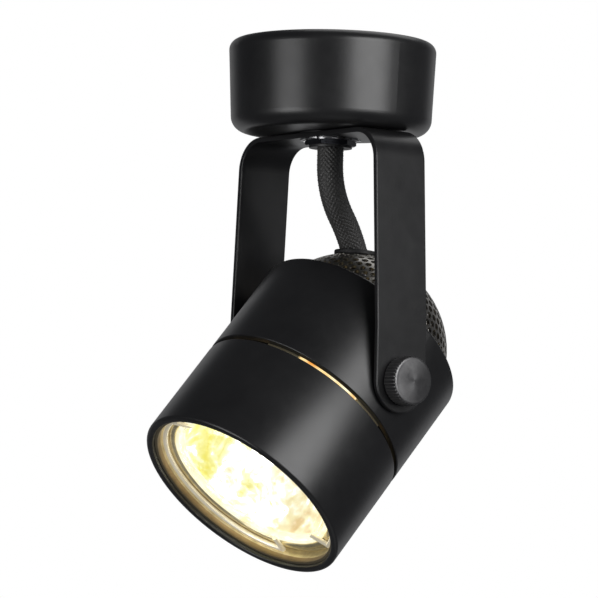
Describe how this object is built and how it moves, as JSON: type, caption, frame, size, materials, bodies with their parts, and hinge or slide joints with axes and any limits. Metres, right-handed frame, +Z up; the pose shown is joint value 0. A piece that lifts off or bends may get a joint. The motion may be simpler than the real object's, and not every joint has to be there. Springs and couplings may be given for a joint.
{
  "type": "track spotlight",
  "caption": "Small black ceiling spotlight: round canopy, swivelling yoke, tilting split cylinder head with side clamp knobs, perforated rear dome and lit reflector lamp.",
  "frame": {"origin": "centre of the mounting strap's two slotted holes, on the ceiling face", "axes": "+Z up, towards the ceiling; X across the yoke, through both clamp knobs; the head points down and towards -Y"},
  "size_m": [0.0788, 0.09, 0.1524],
  "materials": {
    "black_paint": "satin black powder coat",
    "zinc_steel": "bright zinc plate",
    "black_steel": "blackened steel",
    "black_plastic": "matt",
    "knob_plastic": "turned and blackened, soft sheen",
    "dome_nickel": "gunmetal nickel",
    "bright_aluminium": "bright",
    "spring_wire": "polished spring wire",
    "block_plastic": "off-white polyamide",
    "brass": "satin",
    "live_insulation": "brown silicone",
    "neutral_insulation": "blue silicone",
    "earth_insulation": "green and yellow",
    "sleeve_braid": "black glass-fibre braid",
    "grommet_rubber": "matt",
    "holder_ceramic": "glazed steatite",
    "lamp_ceramic": "white ceramic",
    "reflector_glass": "coated faceted glass",
    "lens_glass": "clear",
    "pin_metal": "nickel plate",
    "quartz": "clear quartz",
    "tungsten": "bare"
  },
  "bodies": {
    "base": {"canopy_shell": "black_paint", "mounting_strap": "zinc_steel", "hollow_nipple": "zinc_steel", "strap_nut_top": "zinc_steel", "strap_nut_bottom": "zinc_steel", "spacer_tube": "zinc_steel", "pan_washer": "black_plastic", "star_washer": "zinc_steel", "nipple_nut": "black_steel", "nipple_bush": "black_plastic", "terminal_block": "block_plastic", "terminal_tubes": "brass", "terminal_screws": "zinc_steel", "block_screw": "zinc_steel", "live_wire": "live_insulation", "earth_wire": "earth_insulation", "neutral_wire": "neutral_insulation"},
    "yoke": {"yoke_strap": "black_paint", "cable_sleeve": "sleeve_braid", "pivot_washer_right": "zinc_steel", "pivot_washer_left": "zinc_steel"},
    "head": {"front_housing": "black_paint", "rear_housing": "black_paint", "carrier_ring": "bright_aluminium", "lamp_seat_ring": "bright_aluminium", "retaining_ring": "spring_wire", "rear_dome": "dome_nickel", "dome_ring": "zinc_steel", "sleeve_grommet": "grommet_rubber", "holder_bracket": "zinc_steel", "pivot_nut_right": "zinc_steel", "pivot_nut_left": "zinc_steel", "lamp_holder": "holder_ceramic", "holder_contacts": "brass", "holder_screws": "zinc_steel", "live_lead": "live_insulation", "neutral_lead": "neutral_insulation", "earth_lead": "earth_insulation", "earth_tag": "zinc_steel"},
    "lamp": {"lamp_reflector": "reflector_glass", "lamp_lens": "lens_glass", "lamp_base": "lamp_ceramic", "lamp_pins": "pin_metal", "lamp_capsule": "quartz", "lamp_filament": "tungsten"},
    "washer_right": {"knob_washer_right": "zinc_steel"},
    "washer_left": {"knob_washer_left": "zinc_steel"},
    "knob_right": {"knob_cap_right": "knob_plastic", "knob_stud_right": "zinc_steel"},
    "knob_left": {"knob_cap_left": "knob_plastic", "knob_stud_left": "zinc_steel"}
  },
  "joints": [
    {"name": "yoke_pan", "type": "hinge", "parent": "base", "child": "yoke", "pos_m": [0, 0, -0.0276], "axis": [0, 0, 1], "range_deg": [-170, 170]},
    {"name": "head_tilt", "type": "hinge", "parent": "yoke", "child": "head", "pos_m": [0, 0, -0.0983], "axis": [-1, 0, 0], "range_deg": [-41.8, 48.2], "deforming": ["cable_sleeve"]},
    {"name": "lamp_twist", "type": "hinge", "parent": "head", "child": "lamp", "pos_m": [0, 0, -0.0983], "axis": [0, -0.6665, -0.7455], "range_deg": [0, 20]},
    {"name": "washer_right_slide", "type": "slide", "parent": "head", "child": "washer_right", "axis": [1, 0, 0], "range_m": [0, 0.0014]},
    {"name": "knob_right_turn", "type": "hinge", "parent": "washer_right", "child": "knob_right", "pos_m": [0, 0, -0.0983], "axis": [1, 0, 0], "range_deg": [0, 720]},
    {"name": "washer_left_slide", "type": "slide", "parent": "head", "child": "washer_left", "axis": [-1, 0, 0], "range_m": [0, 0.0014]},
    {"name": "knob_left_turn", "type": "hinge", "parent": "washer_left", "child": "knob_left", "pos_m": [0, 0, -0.0983], "axis": [-1, 0, 0], "range_deg": [0, 720]}
  ],
  "couplings": [
    {"joint": "knob_right_turn", "follows": "washer_right_slide", "rad_per_m": 8976},
    {"joint": "knob_left_turn", "follows": "washer_left_slide", "rad_per_m": 8976}
  ]
}
